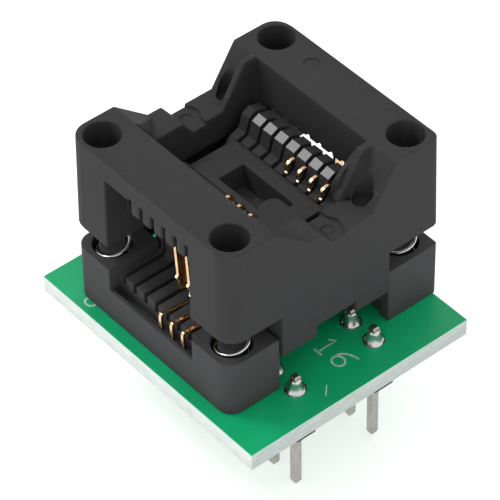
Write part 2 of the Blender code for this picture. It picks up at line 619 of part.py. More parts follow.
def make_cover():
    """The moulded upper half: a frame that slides down on four springs and opens the contacts."""
    bm = bmesh.new()
    flare = COVER_DRAFT * (COVER_BOTTOM - SKIRT_BOTTOM) / (COVER_TOP - COVER_BOTTOM)
    foot = rounded_rectangle(HALF_LENGTH + flare, HALF_WIDTH + flare, COVER_CORNER_RADIUS, COVER_SHARP_RADIUS)
    top = rounded_rectangle(HALF_LENGTH - COVER_DRAFT, HALF_WIDTH - COVER_DRAFT, COVER_CORNER_RADIUS, COVER_SHARP_RADIUS)
    add_loft(bm, foot, top, SKIRT_BOTTOM, COVER_TOP)
    cover = new_object("press_cover", bm, (SOCKET_X, SOCKET_Y, BOARD_TOP))
    well = bmesh.new()
    add_box(well, (-WELL_HALF_LENGTH, WELL_HALF_LENGTH), (-WALL_IN, WALL_IN), (-REACH, REACH))
    boolean(cover, "DIFFERENCE", well)
    valley = bmesh.new()
    add_prism(valley, end_valley(), -REACH, REACH, axis="X")
    boolean(cover, "DIFFERENCE", valley)
    skirt_in = HALF_LENGTH - SKIRT_THICKNESS
    hollow = bmesh.new()
    add_box(hollow, (-skirt_in, skirt_in), (-SKIRT_HALF_WIDTH + RUNNING_GAP, SKIRT_HALF_WIDTH - RUNNING_GAP), (-REACH, SKIRT_HOLLOW_TOP))
    boolean(cover, "DIFFERENCE", hollow)
    lower = bmesh.new()
    for side in SIDES:
        add_box(lower, (-REACH, REACH), (side * SKIRT_HALF_WIDTH, side * REACH), (-REACH, COVER_BOTTOM))
    add_box(lower, (-REACH, REACH), (-SKIRT_NOTCH_HALF_WIDTH, SKIRT_NOTCH_HALF_WIDTH), (-REACH, SKIRT_BOTTOM + SKIRT_NOTCH_HEIGHT))
    boolean(cover, "DIFFERENCE", lower)
    for start, top in ((1.0 * MM, CEILING_STEP_HEIGHT), (CEILING_STEP_OUT, WINDOW_TOP)):
        windows = bmesh.new()
        for side in SIDES:
            add_box(windows, (-WINDOW_HALF_LENGTH, WINDOW_HALF_LENGTH), (side * start, side * REACH), (-REACH, top))
        boolean(cover, "DIFFERENCE", windows)
    grooves = bmesh.new()
    groove_low = WINDOW_TOP - 0.5 * MM
    for side in SIDES:
        groove_out = (side * CEILING_STEP_OUT, side * REACH)
        first_groove = position_x(2) - SLOT_WIDTH / 2
        add_box(grooves, (-WINDOW_HALF_LENGTH, first_groove), groove_out, (groove_low, WINDOW_HIGH_TOP))
        for index in range(2, POSITIONS_PER_SIDE):
            low = position_x(index) - SLOT_WIDTH / 2 + (FIT_GAP if index == 2 else 0.0)
            add_box(grooves, (low, position_x(index) + SLOT_WIDTH / 2), groove_out, (groove_low, GROOVE_TOP))
        for index in range(POSITIONS_PER_SIDE):
            x = position_x(index)
            add_box(grooves, (x - SLOT_WIDTH / 2, x + SLOT_WIDTH / 2),
                    (side * (WALL_IN - 0.5 * MM), side * (CEILING_STEP_OUT - 0.4 * MM)),
                    (CEILING_STEP_HEIGHT - 0.5 * MM, CEILING_STEP_HEIGHT + CEILING_NOTCH))
    boolean(cover, "DIFFERENCE", grooves)
    add_lips(cover)
    hole_floor = COVER_TOP - TOP_HOLE_DEPTH
    step = hole_floor - NECK_HEIGHT
    for radius, x, y, low, high in ((TOP_HOLE_RADIUS, TOP_HOLE_X, TOP_HOLE_Y, hole_floor, REACH),
                                    (NECK_RADIUS, SPRING_X, SPRING_Y, step - 0.5 * MM, hole_floor + 0.5 * MM),
                                    (SPRING_POCKET_RADIUS, SPRING_X, SPRING_Y, -REACH, step)):
        shift = TOP_HOLE_SHIFT if radius == TOP_HOLE_RADIUS else 0.0
        holes = bmesh.new()
        for sx in SIDES:
            for sy in SIDES:
                add_prism(holes, circle(radius, 24, (sx * x, sy * y + shift)), low, high)
        boolean(cover, "DIFFERENCE", holes)
    add_recesses(cover)
    add_ramp_cuts(cover)
    add_barbs(cover)
    return finish(cover, socket_black(), 30)


def add_recesses(cover):
    """A round pocket at the foot of each slope, a round mark on each end beam with the platform cleared round it,
    and a round mark on top of the far wall."""
    clearings = bmesh.new()
    for sx in SIDES:
        half_round = [point for point in circle(END_CLEARING_RADIUS, 20, (sx * END_MARK_X, END_MARK_Y))
                      if point[1] > END_MARK_Y - 0.1 * END_CLEARING_RADIUS]
        add_prism(clearings, half_round, END_BEAM_TOP, REACH)
    boolean(cover, "DIFFERENCE", clearings)
    pockets = bmesh.new()
    for sx in SIDES:
        pocket_x = FAR_POCKET_X if sx > 0 else -WELL_HALF_LENGTH - LIP_THICKNESS - FAR_POCKET_RADIUS
        add_prism(pockets, circle(FAR_POCKET_RADIUS, 20, (pocket_x, FAR_POCKET_OUT)), END_BEAM_TOP - 0.2 * MM, REACH)
        add_prism(pockets, circle(END_MARK_RADIUS, 16, (sx * END_MARK_X, END_MARK_Y)), END_BEAM_TOP - MARK_DEPTH, REACH)
    add_prism(pockets, circle(TOP_MARK_RADIUS, 20, (TOP_MARK_X, TOP_MARK_Y)), COVER_TOP - MARK_DEPTH, REACH)
    boolean(cover, "DIFFERENCE", pockets)


def add_ramp_cuts(cover):
    """Cuts a steep slanting face into the well side of both near slopes, which leaves a ramp at each outer end."""
    height = COVER_TOP - END_STEP_HEIGHT + 0.5 * MM
    run = height / RAMP_CUT_STEEPNESS
    cuts = bmesh.new()
    for sx in SIDES:
        inner_x, outer_x = sx * (WELL_HALF_LENGTH - 0.1 * MM), sx * RAMP_CUT_FAR_X
        foot, edge = -NEAR_SLOPE_FOOT_OUT, -RAMP_CUT_WELL_OUT
        low, high = END_STEP_HEIGHT, END_STEP_HEIGHT + height
        points = ((outer_x, foot, low), (inner_x, edge, low), (inner_x, foot, low), (outer_x, foot, high),
                  (outer_x, foot - run, high), (inner_x, edge - run, high), (inner_x, foot, high))
        corners = [cuts.verts.new(point) for point in points]
        loops = ((0, 1, 2), (3, 4, 5, 6), (0, 4, 5, 1), (1, 5, 6, 2), (2, 6, 3, 0), (0, 3, 4))
        faces = [cuts.faces.new([corners[k] for k in loop]) for loop in loops]
        bmesh.ops.recalc_face_normals(cuts, faces=faces)
    boolean(cover, "DIFFERENCE", cuts)


def add_lips(cover):
    """A thin rib that stands proud of the far slope at each end of the well, and a curved one inside the +X one."""
    top_out = WALL_IN - LIP_PROUD
    foot_out = FAR_SLOPE_FOOT_OUT - LIP_PROUD
    section = [(foot_out, END_BEAM_TOP - 0.6 * MM), (foot_out, END_PLATFORM_TOP), (top_out, COVER_TOP),
               (WALL_IN + 0.4 * MM, COVER_TOP), (WALL_IN + 0.4 * MM, END_BEAM_TOP - 0.6 * MM)]
    lips = bmesh.new()
    add_prism(lips, section, -WELL_HALF_LENGTH - LIP_THICKNESS, -WELL_HALF_LENGTH, axis="X")
    add_prism(lips, section, WELL_HALF_LENGTH - LIP_THICKNESS, WELL_HALF_LENGTH + 0.1 * MM, axis="X")
    boolean(cover, "UNION", lips)
    rib = bmesh.new()
    crest = ((2.9, 2.2), (2.3, 1.6), (1.65, 1.1), (1.05, 0.68), (0.45, 0.6))
    section = [(WALL_IN - out * MM, COVER_TOP - drop * MM) for out, drop in crest]
    section += [(WALL_IN + 0.2 * MM, COVER_TOP - 0.6 * MM), (WALL_IN + 0.2 * MM, COVER_TOP - 3.3 * MM),
                (WALL_IN - 2.9 * MM, COVER_TOP - 3.3 * MM)]
    add_prism(rib, section, SEAT_HALF_LENGTH + SEAT_END_STOP + RUNNING_GAP, WELL_HALF_LENGTH - LIP_THICKNESS + 0.1 * MM, axis="X")
    boolean(cover, "UNION", rib)


def add_barbs(cover):
    """Four barbs inside the skirts, which stop the cover under the base's ledges."""
    barb_top = LEDGE_BOTTOM - SEAT_GAP
    skirt_in = HALF_LENGTH - SKIRT_THICKNESS
    barbs = bmesh.new()
    for sx in SIDES:
        for sy in SIDES:
            add_box(barbs, (sx * (skirt_in - BARB_REACH), sx * (skirt_in + 0.3 * MM)), (sy * BARB_INNER_Y, sy * BARB_OUTER_Y),
                    (barb_top - BARB_HEIGHT, barb_top))
    boolean(cover, "UNION", barbs)


def make_spring(name, x, y):
    """A compression spring of round wire, closed at both ends, from the floor of its well to the cover's step."""
    low = WELL_FLOOR + SEAT_GAP + WIRE_RADIUS
    high = COVER_TOP - TOP_HOLE_DEPTH - NECK_HEIGHT - SEAT_GAP - WIRE_RADIUS
    closed = 2.2 * WIRE_RADIUS
    steps = SPRING_TURNS * STEPS_PER_TURN
    bm = bmesh.new()
    rings = []
    for i in range(steps + 1):
        turn = i / STEPS_PER_TURN
        if turn < 1:
            z = low + closed * turn
        elif turn > SPRING_TURNS - 1:
            z = high - closed * (SPRING_TURNS - turn)
        else:
            z = low + closed + (high - low - 2 * closed) * (turn - 1) / (SPRING_TURNS - 2)
        angle = math.tau * turn
        outward = Vector((math.cos(angle), math.sin(angle), 0.0))
        middle = outward * SPRING_RADIUS + Vector((0.0, 0.0, z))
        rings.append([bm.verts.new(middle + WIRE_RADIUS * (math.cos(math.tau * k / WIRE_SIDES) * outward
                                                         + math.sin(math.tau * k / WIRE_SIDES) * Vector((0.0, 0.0, 1.0))))
                      for k in range(WIRE_SIDES)])
    for ring, following in zip(rings, rings[1:]):
        for k in range(WIRE_SIDES):
            m = (k + 1) % WIRE_SIDES
            bm.faces.new((ring[k], following[k], following[m], ring[m]))
    bm.faces.new(rings[0])
    bm.faces.new(rings[-1][::-1])
    bmesh.ops.recalc_face_normals(bm, faces=bm.faces)
    spring = new_object(name, bm, (SOCKET_X + x, SOCKET_Y + y, BOARD_TOP))
    spring.data.materials.append(spring_steel())
    spring.data.shade_smooth()
    return spring


def build():
    for old in list(bpy.data.objects):
        bpy.data.objects.remove(old)
    make_board()
    make_strip("header_strip_front", row_y(-1))
    make_strip("header_strip_back", row_y(1))
    for number, x, y in pin_places():
        make_pin(number, x, y)
        make_fillet(f"pin_solder_{number:02d}", (x, y, BOARD_TOP + FIT_GAP), 1, (FILLET_RADIUS, FILLET_NECK_RADIUS),
                    FILLET_HEIGHT, PIN_WIDTH / 2 + FIT_GAP, 12)
    make_base()
    for number, x, side in contact_places():
        make_contact(number, x, side)
        make_fillet(f"contact_solder_{number:02d}", (SOCKET_X + x, tail_y(side), BOARD_BOTTOM - FIT_GAP), -1,
                    (TAIL_FILLET_RADIUS, TAIL_FILLET_NECK), TAIL_FILLET_HEIGHT, TAIL_WIDTH / 2 + FIT_GAP, 8)
    make_cover()
    for sx, lengthwise in ((-1, "left"), (1, "right")):
        for sy, crosswise in ((-1, "front"), (1, "back")):
            make_spring(f"spring_{crosswise}_{lengthwise}", sx * SPRING_X, sy * SPRING_Y)


build()
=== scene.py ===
"""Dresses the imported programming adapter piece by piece, in the order in which it is put together."""
import math

import bmesh
import bpy
from mathutils import Matrix, Vector, noise


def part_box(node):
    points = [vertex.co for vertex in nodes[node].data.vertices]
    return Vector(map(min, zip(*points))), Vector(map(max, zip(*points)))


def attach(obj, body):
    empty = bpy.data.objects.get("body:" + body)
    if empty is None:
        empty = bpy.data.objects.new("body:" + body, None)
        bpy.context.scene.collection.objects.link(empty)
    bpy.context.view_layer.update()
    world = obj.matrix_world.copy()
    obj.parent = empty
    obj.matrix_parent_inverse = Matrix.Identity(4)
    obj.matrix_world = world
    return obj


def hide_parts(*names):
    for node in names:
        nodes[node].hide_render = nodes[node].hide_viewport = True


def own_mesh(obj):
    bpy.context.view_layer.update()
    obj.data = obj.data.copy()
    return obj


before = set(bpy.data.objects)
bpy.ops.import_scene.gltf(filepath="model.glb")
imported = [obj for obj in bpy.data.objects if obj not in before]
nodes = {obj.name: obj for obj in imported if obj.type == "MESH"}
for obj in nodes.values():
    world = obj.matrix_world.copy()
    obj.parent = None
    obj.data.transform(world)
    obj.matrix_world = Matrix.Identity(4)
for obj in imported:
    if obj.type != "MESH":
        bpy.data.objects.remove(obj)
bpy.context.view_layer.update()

MM = 0.001


# The circuit board is glass-fibre laminate with green solder mask on both faces and a pale cut edge.
# It is routed from a panel, drilled and plated. It stays as the CAD has it and only gets its finish here.
class Signal:
    """An output of a shader node that takes part in sums: each operator adds the Math node for it."""

    def __init__(self, tree, socket):
        self.tree, self.socket = tree, socket

    def math(self, operation, *values):
        made = self.tree.nodes.new("ShaderNodeMath")
        made.operation = operation
        for place, value in enumerate(values):
            if isinstance(value, Signal):
                self.tree.links.new(value.socket, made.inputs[place])
            else:
                made.inputs[place].default_value = value
        return Signal(self.tree, made.outputs[0])

    def __add__(self, other):
        return self.math("ADD", self, other)

    def __sub__(self, other):
        return self.math("SUBTRACT", self, other)

    def __rsub__(self, other):
        return self.math("SUBTRACT", other, self)

    def __mul__(self, other):
        return self.math("MULTIPLY", self, other)

    def __truediv__(self, other):
        return self.math("DIVIDE", self, other)

    def __gt__(self, other):
        return self.math("GREATER_THAN", self, other)

    def __lt__(self, other):
        return self.math("LESS_THAN", self, other)

    def __abs__(self):
        return self.math("ABSOLUTE", self)

    __radd__, __rmul__ = __add__, __mul__

    def clipped(self):
        return self.math("MINIMUM", self.math("MAXIMUM", self, 0.0), 1.0)


class Finish:
    """A material with one Principled shader: fixed numbers go on its sockets, the rest comes from nodes."""

    def __init__(self, name, **fixed):
        self.material = bpy.data.materials.new(name)
        self.material.use_nodes = True
        self.tree = self.material.node_tree
        self.shader = self.tree.nodes["Principled BSDF"]
        for socket, value in fixed.items():
            setting = (*value, 1.0) if isinstance(value, tuple) else value
            self.shader.inputs[socket.replace("_", " ")].default_value = setting

    def node(self, kind, settings=(), sockets=(), output=0):
        """Adds a node of a kind, with its settings first and then the values or links of its sockets."""
        made = self.tree.nodes.new("ShaderNode" + kind)
        for name, value in dict(settings).items():
            setattr(made, name, value)
        for socket, value in dict(sockets).items():
            if isinstance(value, Signal):
                self.tree.links.new(value.socket, made.inputs[socket])
            elif made.inputs[socket].type == "RGBA":
                made.inputs[socket].default_value = (*value, 1.0)
            else:
                made.inputs[socket].default_value = value
        return Signal(self.tree, made.outputs[output])

    def place(self, stretch=(1.0, 1.0, 1.0)):
        """The surface's own place on the part in metres, stretched along its axes."""
        return self.node("Mapping", {}, {"Vector": self.node("TexCoord", output="Object"), "Scale": stretch})

    def along(self, axis):
        """The surface's own place along an axis of the part, in metres."""
        return self.node("SeparateXYZ", {}, {"Vector": self.place()}, axis)

    def facing(self, axis):
        """How far the surface faces along an axis of the part, from -1 to 1."""
        return self.node("SeparateXYZ", {}, {"Vector": self.node("TexCoord", output="Normal")}, axis)

    def clouds(self, size, stretch=(1.0, 1.0, 1.0), detail=3.0):
        """Soft noise from 0 to 1 with patches of about that size in metres."""
        sockets = {"Vector": self.place(stretch), "Scale": 1.0 / size, "Detail": detail, "Roughness": 0.55}
        return self.node("TexNoise", {}, sockets)

    def between(self, mask, low, high):
        """A colour that goes from one to another as the mask goes from 0 to 1."""
        return self.node("Mix", {"data_type": "RGBA"}, {0: mask, 6: low, 7: high}, 2)

    def bumps(self, height, depth, strength=1.0):
        return self.node("Bump", {}, {"Height": height, "Distance": depth, "Strength": strength})

    def feed(self, **varying):
        for socket, signal in varying.items():
            self.tree.links.new(signal.socket, self.shader.inputs[socket.replace("_", " ")])
        return self.material


BOARD_BOTTOM, BOARD_TOP = (corner.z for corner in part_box("circuit_board"))
DARK_MASK, LIGHT_MASK = (0.003, 0.34, 0.13), (0.007, 0.43, 0.175)
DARK_LAMINATE, LIGHT_LAMINATE = (0.46, 0.51, 0.49), (0.80, 0.86, 0.82)
MASK_RIM = (0.30, 0.72, 0.50)
MASK_RIM_START = 0.93
WEAVE_PITCH = 0.45 * MM


def solder_mask():
    """Glossy green over copper and weave on the two faces, and bare laminate in layers on the cut edge, with
    painted shade on the edge's sides that face along X.
    """
    finish = Finish("solder_mask_and_edge", Specular_IOR_Level=0.3)
    face = abs(finish.facing("Z")) > 0.5
    patches = finish.clouds(7 * MM, detail=2.0)
    warp, weft = (finish.clouds(WEAVE_PITCH, stretch) for stretch in ((1.0, 0.35, 1.0), (0.35, 1.0, 1.0)))
    weave = warp * 0.5 + weft * 0.5
    depth = (patches * 1.2 - 0.1 + (weave - 0.5) * 0.4).clipped()
    green = finish.between(depth, DARK_MASK, LIGHT_MASK)
    rise = (finish.along("Z") - BOARD_BOTTOM) / (BOARD_TOP - BOARD_BOTTOM)
    layers = finish.clouds(0.9 * MM, (1.0, 1.0, 9.0), detail=4.0)
    # The sides of the cut edge that face along X are darkened: painted shade.
    painted_side_shade = (abs(finish.facing("X")) > 0.5) * 0.55
    paleness = (rise * 0.3 + layers * 1.6 - painted_side_shade - 0.35).clipped()
    fibres = finish.between(paleness, DARK_LAMINATE, LIGHT_LAMINATE)
    cut = finish.between((rise > MASK_RIM_START) * 0.6, fibres, MASK_RIM)
    roughness = face * (0.34 + patches * 0.08) + (1 - face) * 0.75
    relief = finish.bumps(weave * face + layers * (1 - face) * 2.0, 0.004 * MM, 0.5)
    return finish.feed(Base_Color=finish.between(face, cut, green), Roughness=roughness, Normal=relief)


nodes["circuit_board"].data.materials.clear()
nodes["circuit_board"].data.materials.append(solder_mask())


# Tinned copper pads round the plated holes, a little wider than the solder on them.
# They are etched from the board's copper foil and left open in the solder mask on both faces.
PAD_THICKNESS = 0.02 * MM
PIN_PAD = 0.5 * MM, 0.86 * MM
TAIL_PAD = 0.3 * MM, 0.52 * MM


def centre_of(node):
    low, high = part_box(node)
    return (low.x + high.x) / 2, (low.y + high.y) / 2


def add_to_scene(name, mesh, material, body, smooth_angle=None):
    """Puts a mesh in the scene as a piece on one body, with its finish and the record's material slot."""
    piece = bpy.data.objects.new(name, mesh)
    bpy.context.scene.collection.objects.link(piece)
    mesh.materials.clear()
    mesh.materials.append(material)
    if smooth_angle:
        mesh.shade_smooth()
        mesh.set_sharp_from_angle(angle=math.radians(smooth_angle))
    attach(piece, body)
    return piece


def mesh_from(name, bm):
    bmesh.ops.recalc_face_normals(bm, faces=bm.faces)
    mesh = bpy.data.meshes.new(name)
    bm.to_mesh(mesh)
    bm.free()
    return mesh


def add_lathe(bm, centre, profile, count, wobble=0.0, seed=0):
    """Turns a profile of (radius, height) round an upright line; wobble makes the round slightly uneven."""
    rings = []
    for radius, height in profile:
        ring = []
        for i in range(count):
            angle = math.tau * i / count
            spot = Vector((math.cos(angle) * 1.3, math.sin(angle) * 1.3, seed + height / MM * 0.8))
            reach = radius * (1 + wobble * noise.noise(spot))
            x, y = centre[0] + reach * math.cos(angle), centre[1] + reach * math.sin(angle)
            ring.append(bm.verts.new((x, y, height)))
        rings.append(ring)
    for low, high in zip(rings, rings[1:]):
        for i in range(count):
            j = (i + 1) % count
            bm.faces.new((low[i], low[j], high[j], high[i]))
    return rings


def add_washer(bm, centre, radii, low, high, count=28):
    """A flat ring between an inner and an outer radius."""
    inner, outer = radii
    rings = add_lathe(bm, centre, ((inner, low), (outer, low), (outer, high), (inner, high)), count)
    for i in range(count):
        j = (i + 1) % count
        bm.faces.new((rings[3][i], rings[3][j], rings[0][j], rings[0][i]))


def tin(name, lightness):
    """Bright tin that has dulled in patches."""
    finish = Finish(name, Metallic=1.0)
    dull = finish.clouds(0.35 * MM, detail=4.0)
    dark = (lightness * 0.72, lightness * 0.72, lightness * 0.73)
    colour = finish.between(dull, dark, (lightness, lightness, lightness * 0.99))
    relief = finish.bumps(dull, 0.03 * MM, 0.6)
    return finish.feed(Base_Color=colour, Roughness=0.14 + dull * 0.3, Normal=relief)


pin_numbers = range(1, 17)
contact_numbers = range(5, 13)
pads = bmesh.new()
for number in pin_numbers:
    pin_place = centre_of(f"header_pin_{number:02d}")
    add_washer(pads, pin_place, PIN_PAD, BOARD_TOP, BOARD_TOP + PAD_THICKNESS)
    add_washer(pads, pin_place, PIN_PAD, BOARD_BOTTOM - PAD_THICKNESS, BOARD_BOTTOM)
for number in contact_numbers:
    tail_place = centre_of(f"contact_solder_{number:02d}")
    add_washer(pads, tail_place, TAIL_PAD, BOARD_BOTTOM - PAD_THICKNESS, BOARD_BOTTOM)
tinned_copper = tin("tinned_copper", 0.7)
add_to_scene("board_pads", mesh_from("board_pads", pads), tinned_copper, "adapter", 30)


# White silk-screen ink by the end pins: their plain numbers and a short dash, drawn with a single thin line.
# The ink is printed last and lies on the mask. The socket covers part of it.
INK_THICKNESS = 0.015 * MM
WORN_INK, FRESH_INK = (0.20, 0.50, 0.35), (0.60, 0.76, 0.68)


def ring_points(centre, radius_x, radius_y, start=0.0, stop=1.0, count=14):
    """Points round part of an ellipse, with angles in turns."""
    turns = [math.tau * (start + (stop - start) * i / count) for i in range(count + 1)]
    return [(centre[0] + radius_x * math.cos(turn), centre[1] + radius_y * math.sin(turn)) for turn in turns]


STROKES = {
    "1": [[(0.04, 0.8), (0.28, 1.0), (0.28, 0.0)], [(0.04, 0.0), (0.52, 0.0)]],
    "6": [[(0.78, 1.0), (0.5, 0.93), *ring_points((0.62, 0.42), 0.59, 0.5, 0.34, 0.5, 6)],
          ring_points((0.33, 0.29), 0.3, 0.27)],
    "8": [ring_points((0.33, 0.25), 0.3, 0.25), ring_points((0.33, 0.75), 0.26, 0.25)],
    "-": [[(0.0, 0.0), (0.79, -0.78)]],
}
PRINTED_MARKS = (
    {"name": "silk_number_16", "text": "16", "at": (6.93, -0.225), "height": 1.8, "step": 1.6, "line": 0.16},
    {"name": "silk_number_8", "text": "8", "at": (-8.16, -10.0), "height": 1.55, "step": 1.3, "line": 0.17},
    {"name": "silk_dash", "text": "-", "at": (10.38, -1.93), "height": 1.0, "step": 1.0, "line": 0.1},
)


def add_stroke(bm, points, width, low, high):
    """A flat line of ink through points, mitred at its bends. It is joined up where its ends meet."""
    closed = (points[0] - points[-1]).length < 1e-6
    steps = [(after - before).normalized() for before, after in zip(points, points[1:])]
    sides = []
    for i, point in enumerate(points):
        before = steps[i - 1] if i > 0 or closed else steps[0]
        after = steps[i % len(steps)] if i < len(steps) or closed else steps[-1]
        heading = (before + after).normalized()
        across = Vector((-heading.y, heading.x)) * width / 2
        left, right = point + across, point - across
        corners = ((left, low), (right, low), (right, high), (left, high))
        sides.append([bm.verts.new((flat.x, flat.y, level)) for flat, level in corners])
    for near, far in zip(sides, sides[1:]):
        for i in range(4):
            j = (i + 1) % 4
            bm.faces.new((near[i], near[j], far[j], far[i]))
    if closed:
        bmesh.ops.remove_doubles(bm, verts=sides[0] + sides[-1], dist=1e-9)
    else:
        bm.faces.new(sides[0])
        bm.faces.new(sides[-1][::-1])


def silk_ink():
    finish = Finish("silk_ink", Roughness=0.6)
    cover = (finish.clouds(0.3 * MM, detail=4.0) * 2.2 - 0.6).clipped()
    return finish.feed(Base_Color=finish.between(cover, WORN_INK, FRESH_INK))


ink = silk_ink()
for mark in PRINTED_MARKS:
    letters = bmesh.new()
    for i, digit in enumerate(mark["text"]):
        start = Vector(mark["at"]) + Vector((i * mark["step"], 0.0))
        for stroke in STROKES[digit]:
            drawn = [(start + Vector(point) * mark["height"]) * MM for point in stroke]
            add_stroke(letters, drawn, mark["line"] * MM, BOARD_TOP, BOARD_TOP + INK_THICKNESS)
    add_to_scene(mark["name"], mesh_from(mark["name"], letters), ink, "adapter")


# The two header strips are black nylon, pushed up against the board to carry the pins.
# They are moulded in one length, with a waist between pins where they would be snapped.
STRIP_EDGE_RADIUS = 0.08 * MM
STRIP_SHADE = 0.03
DUST = (0.19, 0.18, 0.17)
# The colour that the base darkens to near its top, as painted shade.
PAINTED_SHADE_TONE = (0.012, 0.012, 0.013)
MOULD_GRAIN = 0.07 * MM


def softened(node, name, radius, material, body="adapter", sharp_angle=33, crisp_above=math.inf):
    """A copy of a CAD node with rounded edges that stands for it. An edge near small detail is rounded less,
    and one that reaches above a given height stays crisp."""
    bm = bmesh.new()
    bm.from_mesh(nodes[node].data)
    bmesh.ops.remove_doubles(bm, verts=bm.verts, dist=0.002 * MM)
    bmesh.ops.dissolve_limit(bm, angle_limit=math.radians(1), verts=bm.verts, edges=bm.edges)
    weights = bm.edges.layers.float.new("bevel_weight_edge")
    for edge in bm.edges:
        folded = len(edge.link_faces) == 2 and edge.calc_face_angle(0) > math.radians(sharp_angle)
        if folded and max(vert.co.z for vert in edge.verts) <= crisp_above:
            nearby = [other.calc_length() for vert in edge.verts for other in vert.link_edges]
            edge[weights] = min(1.0, 0.4 * min(nearby) / radius)
    mesh = mesh_from(name, bm)
    piece = add_to_scene(name, mesh, material, body, sharp_angle)
    for edge in mesh.edges:
        edge.use_edge_sharp |= min(mesh.vertices[end].co.z for end in edge.vertices) > crisp_above
    bevel = piece.modifiers.new("rounded_edges", "BEVEL")
    bevel.limit_method = "WEIGHT"
    bevel.width, bevel.segments = radius, 2
    bevel.use_clamp_overlap = bevel.loop_slide = False
    bevel.harden_normals = True
    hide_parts(node)
    return piece


def moulded_black(name, shade, grain, polish_and_shade=None):
    """Black moulding with the fine grain of its mould, paler where it is rubbed, and a little dust. Where a
    height is given, the colour darkens over the 4.5 mm below it and stays dark above it, as painted shade,
    and the mould is polished above that height between two places along X."""
    finish = Finish(name, Specular_IOR_Level=0.06, Coat_Roughness=0.16, Coat_IOR=1.55)
    patches = finish.clouds(3.5 * MM, detail=4.0)
    fine = finish.clouds(grain, detail=2.0)
    specks = ((finish.clouds(0.16 * MM, detail=1.0) - 0.735) * 18.0).clipped()
    dust = specks * (finish.facing("Z") > 0.35)
    flow = finish.clouds(1.2 * MM, (1.0, 1.0, 6.0), detail=4.0)
    rubbed = (patches * 0.8 + flow * 0.5 - 0.15).clipped()
    dark, pale = ((shade * part, shade * part, shade * (part + 0.04)) for part in (0.9, 1.12))
    colour = finish.between(dust * 0.5, finish.between(rubbed, dark, pale), DUST)
    roughness = 0.5 + patches * 0.12 + fine * 0.08 + dust * 0.2
    relief = finish.bumps(fine + flow * 0.7, 0.012 * MM, 0.35)
    if polish_and_shade:
        height, lengthwise = finish.along("Z"), finish.along("X")
        # Painted shade: the colour darkens towards the given height and stays dark above it.
        painted_shade_upward = (1 - (polish_and_shade["bottom"] - height) / (4.5 * MM)).clipped()
        colour = finish.between(painted_shade_upward * 0.35, colour, PAINTED_SHADE_TONE)
        tips = ((height - polish_and_shade["bottom"]) / (0.3 * MM)).clipped()
        within = (lengthwise > polish_and_shade["start"]) * (lengthwise < polish_and_shade["stop"])
        finish.feed(Coat_Weight=tips * within * polish_and_shade["gloss"])
    return finish.feed(Base_Color=colour, Roughness=roughness, Normal=relief)


header_nylon = moulded_black("header_nylon", STRIP_SHADE, 0.06 * MM)
for row in ("front", "back"):
    softened(f"header_strip_{row}", f"pin_strip_{row}", STRIP_EDGE_RADIUS, header_nylon)


# The header's pins are square brass wire with tin plate, drawn, cut and pointed, then pressed through the
# strips. Their upper ends are left a little long, apart from the two that the cover comes down over.
PIN_EDGE_RADIUS = 0.05 * MM
PIN_END_RISE = 0.22 * MM
PINS_UNDER_COVER = (8, 9)
DULL_TIN, BRIGHT_TIN = (0.30, 0.29, 0.27), (0.52, 0.50, 0.47)


def tin_plate():
    """Plated wire with the fine lines that drawing leaves along it."""
    finish = Finish("tin_plate", Metallic=1.0)
    lines = finish.clouds(0.05 * MM, (1.0, 1.0, 0.04), detail=3.0)
    stain = finish.clouds(0.9 * MM, detail=4.0)
    colour = finish.between((stain * 1.3 + lines * 0.3 - 0.3).clipped(), DULL_TIN, BRIGHT_TIN)
    roughness = 0.22 + stain * 0.16 + lines * 0.06
    return finish.feed(Base_Color=colour, Roughness=roughness, Normal=finish.bumps(lines, 0.004 * MM, 0.4))


plated_wire = tin_plate()
for number in pin_numbers:
    name = f"square_pin_{number:02d}"
    pin = softened(f"header_pin_{number:02d}", name, PIN_EDGE_RADIUS, plated_wire)
    rise = 0.0 if number in PINS_UNDER_COVER else PIN_END_RISE
    for vertex in pin.data.vertices:
        vertex.co.z += rise if vertex.co.z > BOARD_TOP else 0.0


# Solder on each pin: a concave cone that wets the pad and climbs the square pin almost to its end.
# It is put on by hand after the pins are pushed through, so that no two cones are quite alike.
CONE_PROFILE = ((0.76, 0.02), (0.71, 0.05), (0.64, 0.13), (0.57, 0.27), (0.52, 0.45), (0.485, 0.65),
                (0.465, 0.85), (0.435, 1.0), (0.36, 1.08), (0.2, 1.12))
CONE_WOBBLE = 0.16

bright_solder = tin("bright_solder", 0.8)


def add_solder(name, node, centre, profile, count, wobble, seed):
    """A closed lump of solder, turned from its profile, that stands for the CAD's fillet."""
    bm = bmesh.new()
    rings = add_lathe(bm, centre, profile, count, wobble, seed)
    bm.faces.new(rings[-1])
    bm.faces.new(rings[0][::-1])
    piece = add_to_scene(name, mesh_from(name, bm), bright_solder, "adapter", 60)
    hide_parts(node)


for number in pin_numbers:
    lift = 1 + 0.05 * noise.noise(Vector((number * 3.7, 0.0, 0.0)))
    profile = [(radius * MM, BOARD_TOP + height * lift * MM) for radius, height in CONE_PROFILE]
    pin_place = centre_of(f"header_pin_{number:02d}")
    name, node = f"solder_cone_{number:02d}", f"pin_solder_{number:02d}"
    add_solder(name, node, pin_place, profile, 32, CONE_WOBBLE, number * 7.3)


# The lower half of the socket: glass-filled black plastic, moulded in one piece with the chip's seat, the
# combs that keep the contacts apart, and four round wells with a boss in each. The mould is polished at the
# combs' tips.
BASE_EDGE_RADIUS = 0.08 * MM
# The base's tone is paler than the cover's, though both are the same plastic: painted light on its faces that
# lie in shade under the cover.
BASE_TONE_PAINTED_LIGHTER = 0.058
CRISP_ABOVE = BOARD_TOP + 11.3 * MM
# The base's colour also darkens towards this bottom height, as painted shade.
TIP_POLISH_AND_SHADE = {"bottom": BOARD_TOP + 11.5 * MM, "start": -4.7 * MM, "stop": 3.8 * MM, "gloss": 0.34}

